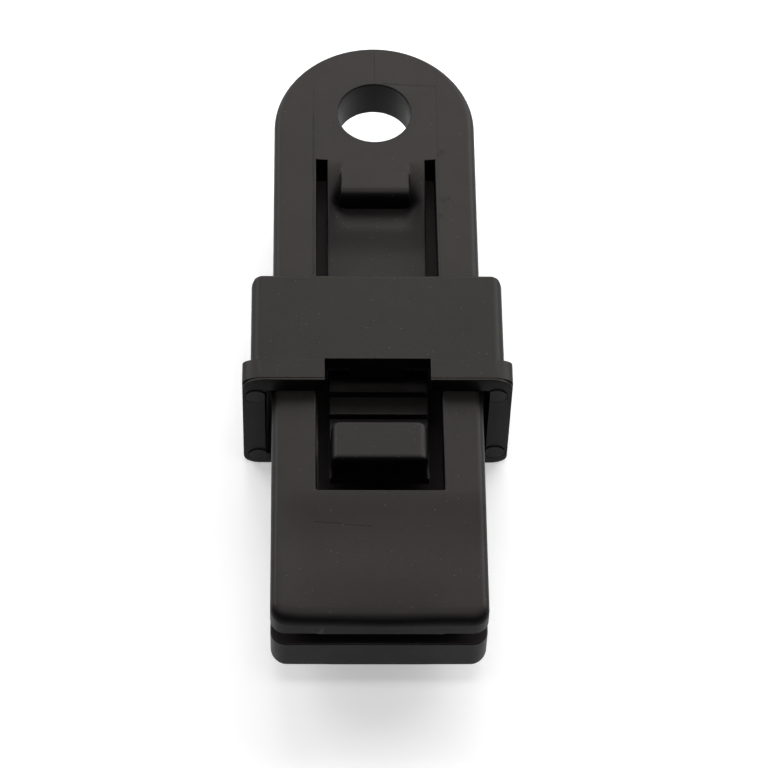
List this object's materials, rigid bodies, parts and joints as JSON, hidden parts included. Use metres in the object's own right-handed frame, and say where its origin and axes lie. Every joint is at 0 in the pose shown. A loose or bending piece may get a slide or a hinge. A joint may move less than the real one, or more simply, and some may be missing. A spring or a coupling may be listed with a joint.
{
  "type": "tarp clip",
  "caption": "Tarp clip with an eye at one end and gripping jaws at the other, shut by a sliding collar that a sprung ratchet tongue holds until its button is pressed.",
  "frame": {"origin": "on the axis of the eye's bore, at mid-thickness of the eye", "axes": "+Z along the bore, out of the top face that carries the button; +Y from the jaw tips toward the eye; X across the jaws"},
  "size_m": [0.0378, 0.0994, 0.021],
  "materials": {
    "body_nylon": "black moulded nylon, fine satin grain",
    "collar_nylon": "black moulded nylon, fine satin grain"
  },
  "bodies": {
    "body": {"upper_jaw": "body_nylon"},
    "jaw": {"lower_jaw": "body_nylon"},
    "tongue": {"locking_tongue": "body_nylon"},
    "collar": {"locking_collar": "collar_nylon"}
  },
  "joints": [
    {"name": "collar_slide", "type": "slide", "parent": "body", "child": "collar", "axis": [0, 1, 0], "range_m": [-0.00748, 0.0288]},
    {"name": "lower_jaw_bend", "type": "hinge", "parent": "body", "child": "jaw", "pos_m": [0, -0.0089, -0.0025], "axis": [1, 0, 0], "range_deg": [-1.95, 7.5]},
    {"name": "tongue_bend", "type": "hinge", "parent": "body", "child": "tongue", "pos_m": [0, -0.0152, -0.00145], "axis": [1, 0, 0], "range_deg": [0, 3], "stiffness_Nm_per_rad": 0.5}
  ],
  "couplings": [
    {"joint": "lower_jaw_bend", "follows": "collar_slide", "rad_per_m": 4.54}
  ]
}
